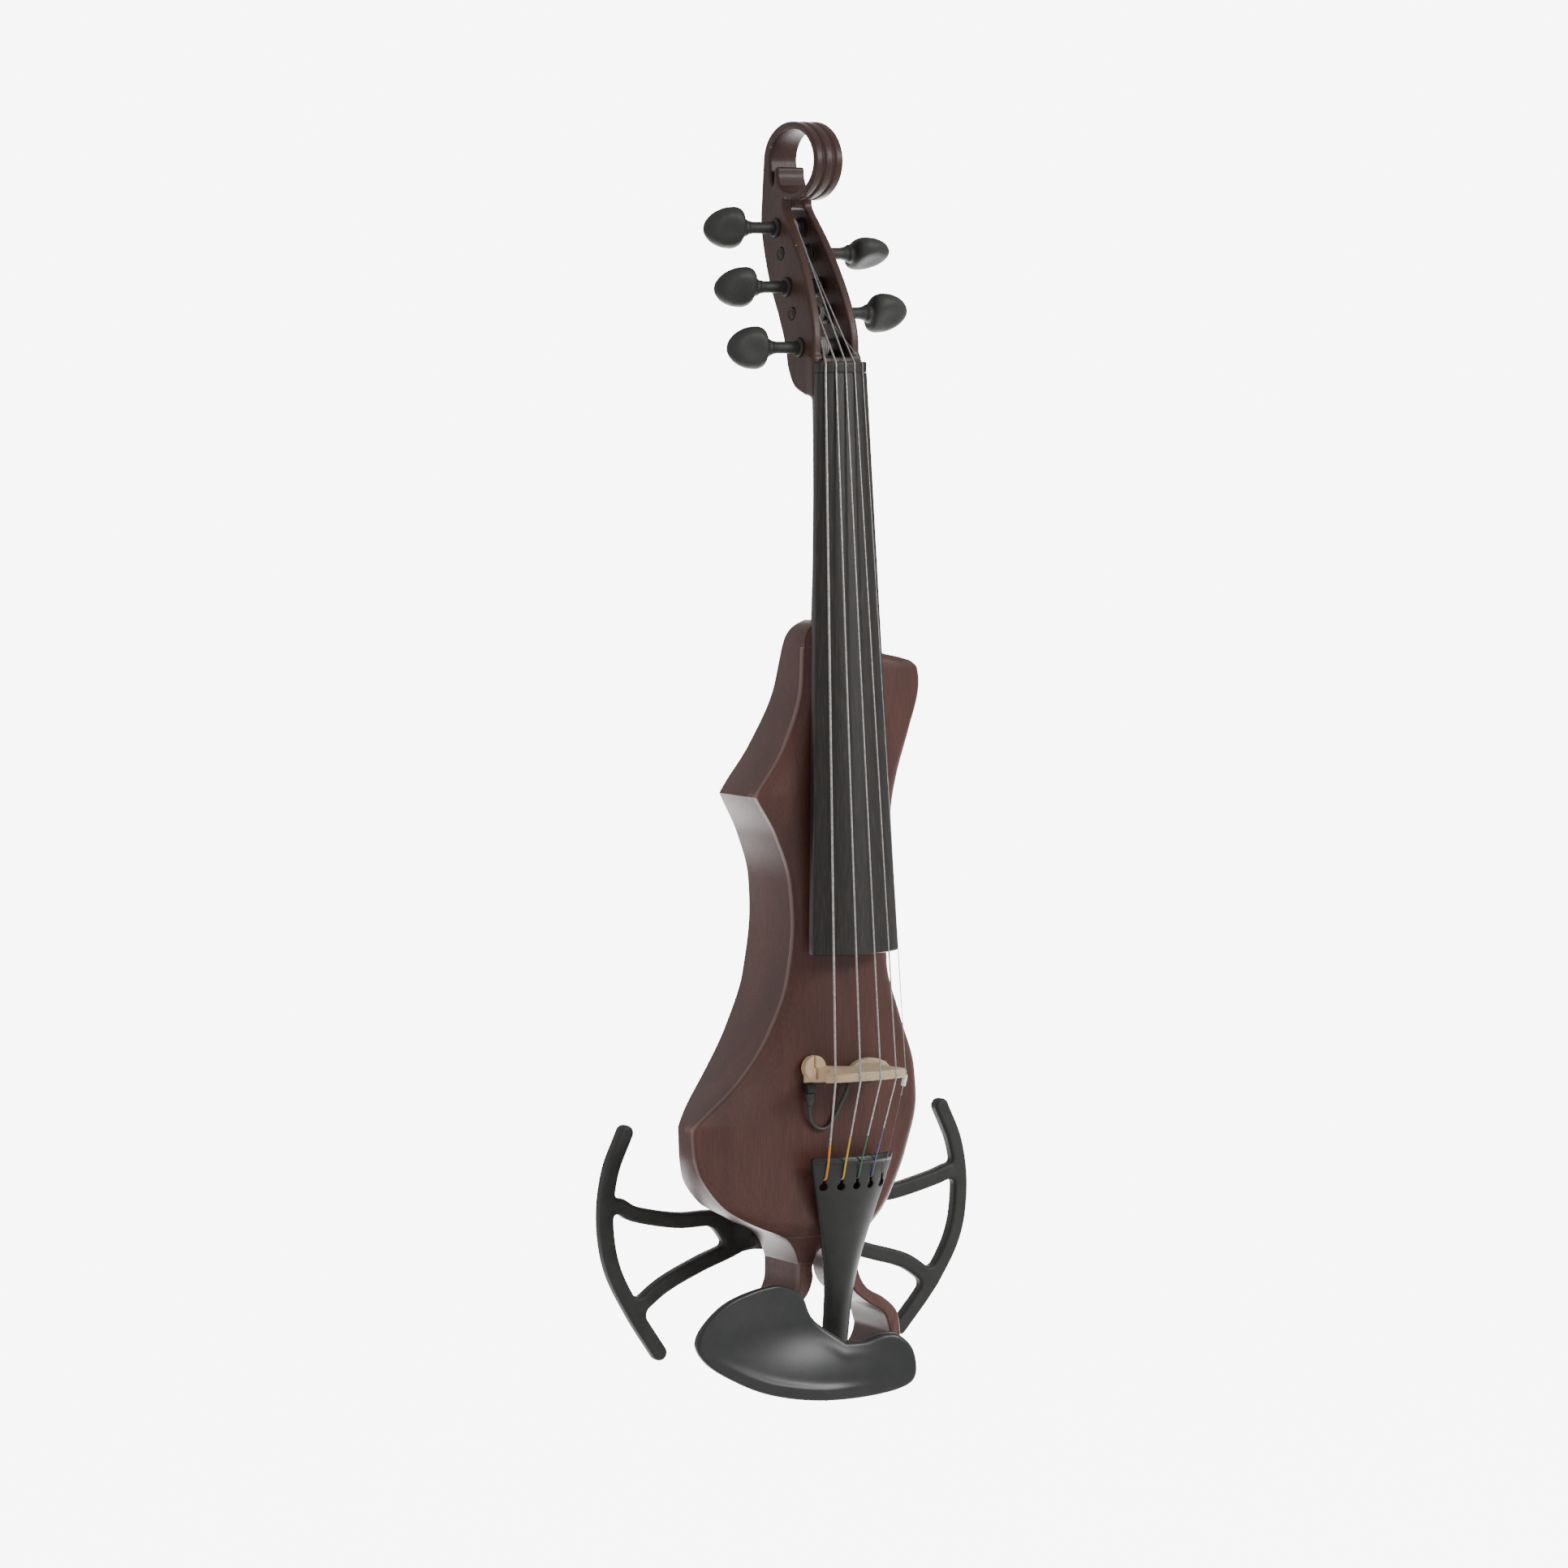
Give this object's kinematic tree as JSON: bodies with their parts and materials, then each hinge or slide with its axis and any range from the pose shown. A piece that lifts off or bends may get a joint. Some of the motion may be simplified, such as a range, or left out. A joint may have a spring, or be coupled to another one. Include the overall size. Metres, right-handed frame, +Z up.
{
  "type": "electric violin",
  "caption": "Bowed electric string instrument with a hollow carved body, open tail loop, openwork scroll, geared pegs, bridge pickup, chin rest and shoulder wings.",
  "frame": {"origin": "where a wall hanger holds the top of the scroll's inside, in the middle of its width", "axes": "+Z up, from the tail to the scroll; +X towards the treble side; +Y towards the back"},
  "size_m": [0.205, 0.094, 0.6001],
  "materials": {
    "red_wood": "satin clear varnish over dark red-brown stain",
    "ebony": "oiled, nearly black",
    "maple": "bare wood, matte",
    "black_plastic": "satin black moulding",
    "soft_black": "matte charcoal moulding",
    "steel": "bright drawn wire and turned steel",
    "white_plastic": "plain white tube",
    "board_green": "green lacquered board",
    "can_grey": "plain metal can"
  },
  "bodies": {
    "instrument": {"body_shell": "red_wood", "soundboard": "red_wood", "neck": "red_wood", "fingerboard": "ebony", "nut": "ebony", "tail_saddle": "ebony", "bridge": "maple", "back_cover": "black_plastic", "jack_plate": "black_plastic", "bridge_pickup": "black_plastic", "lead_sleeve": "black_plastic", "pickup_lead": "black_plastic", "lead_grommet": "black_plastic", "tailpiece": "black_plastic", "tail_gut": "black_plastic", "chin_rest": "black_plastic", "chin_rest_post_left": "black_plastic", "chin_rest_post_right": "black_plastic", "wing_left": "soft_black", "wing_right": "soft_black", "peg_casing_1": "soft_black", "peg_casing_2": "soft_black", "peg_casing_3": "soft_black", "peg_casing_4": "soft_black", "peg_casing_5": "soft_black", "output_jack": "steel", "tail_pin": "steel", "chin_rest_screw_left": "steel", "chin_rest_screw_right": "steel", "wing_bolt_left": "steel", "wing_bolt_right": "steel", "string_1": "steel", "string_2": "steel", "string_3": "steel", "string_4": "steel", "string_5": "steel", "e_string_sleeve": "white_plastic", "circuit_board": "board_green", "battery": "can_grey", "volume_pot": "can_grey", "tone_pot": "can_grey"},
    "peg_head_1": {"peg_head_1": "soft_black"},
    "peg_drum_1": {"peg_drum_1": "soft_black", "string_winding_1": "steel"},
    "peg_head_2": {"peg_head_2": "soft_black"},
    "peg_drum_2": {"peg_drum_2": "soft_black", "string_winding_2": "steel"},
    "peg_head_3": {"peg_head_3": "soft_black"},
    "peg_drum_3": {"peg_drum_3": "soft_black", "string_winding_3": "steel"},
    "peg_head_4": {"peg_head_4": "soft_black"},
    "peg_drum_4": {"peg_drum_4": "soft_black", "string_winding_4": "steel"},
    "peg_head_5": {"peg_head_5": "soft_black"},
    "peg_drum_5": {"peg_drum_5": "soft_black", "string_winding_5": "steel"},
    "volume_knob": {"volume_knob": "black_plastic"},
    "tone_knob": {"tone_knob": "black_plastic"},
    "battery_door": {"battery_door": "black_plastic"}
  },
  "joints": [
    {"name": "peg_turn_1", "type": "hinge", "parent": "instrument", "child": "peg_head_1", "pos_m": [0, -0.0155, -0.1012], "axis": [1, 0, 0], "continuous": true},
    {"name": "drum_turn_1", "type": "hinge", "parent": "instrument", "child": "peg_drum_1", "pos_m": [0, -0.0155, -0.1012], "axis": [1, 0, 0], "continuous": true},
    {"name": "peg_turn_2", "type": "hinge", "parent": "instrument", "child": "peg_head_2", "pos_m": [0, -0.002, -0.0733], "axis": [1, 0, 0], "continuous": true},
    {"name": "drum_turn_2", "type": "hinge", "parent": "instrument", "child": "peg_drum_2", "pos_m": [0, -0.002, -0.0733], "axis": [1, 0, 0], "continuous": true},
    {"name": "peg_turn_3", "type": "hinge", "parent": "instrument", "child": "peg_head_3", "pos_m": [0, 0.011, -0.0458], "axis": [1, 0, 0], "continuous": true},
    {"name": "drum_turn_3", "type": "hinge", "parent": "instrument", "child": "peg_drum_3", "pos_m": [0, 0.011, -0.0458], "axis": [1, 0, 0], "continuous": true},
    {"name": "peg_turn_4", "type": "hinge", "parent": "instrument", "child": "peg_head_4", "pos_m": [0, 0.005, -0.0578], "axis": [1, 0, 0], "continuous": true},
    {"name": "drum_turn_4", "type": "hinge", "parent": "instrument", "child": "peg_drum_4", "pos_m": [0, 0.005, -0.0578], "axis": [1, 0, 0], "continuous": true},
    {"name": "peg_turn_5", "type": "hinge", "parent": "instrument", "child": "peg_head_5", "pos_m": [0, -0.008, -0.0856], "axis": [1, 0, 0], "continuous": true},
    {"name": "drum_turn_5", "type": "hinge", "parent": "instrument", "child": "peg_drum_5", "pos_m": [0, -0.008, -0.0856], "axis": [1, 0, 0], "continuous": true},
    {"name": "volume_turn", "type": "hinge", "parent": "instrument", "child": "volume_knob", "pos_m": [-0.015, 0.016, -0.4358], "axis": [0, 1, 0], "range_deg": [-150, 150]},
    {"name": "tone_turn", "type": "hinge", "parent": "instrument", "child": "tone_knob", "pos_m": [0.013, 0.016, -0.4358], "axis": [0, 1, 0], "range_deg": [-150, 150]},
    {"name": "door_swing", "type": "hinge", "parent": "instrument", "child": "battery_door", "pos_m": [0, 0.0144, -0.4828], "axis": [-1, 0, 0], "range_deg": [0, 110]}
  ],
  "couplings": [
    {"joint": "drum_turn_1", "follows": "peg_turn_1", "ratio": 0.11765},
    {"joint": "drum_turn_2", "follows": "peg_turn_2", "ratio": 0.11765},
    {"joint": "drum_turn_3", "follows": "peg_turn_3", "ratio": 0.11765},
    {"joint": "drum_turn_4", "follows": "peg_turn_4", "ratio": 0.11765},
    {"joint": "drum_turn_5", "follows": "peg_turn_5", "ratio": 0.11765}
  ]
}
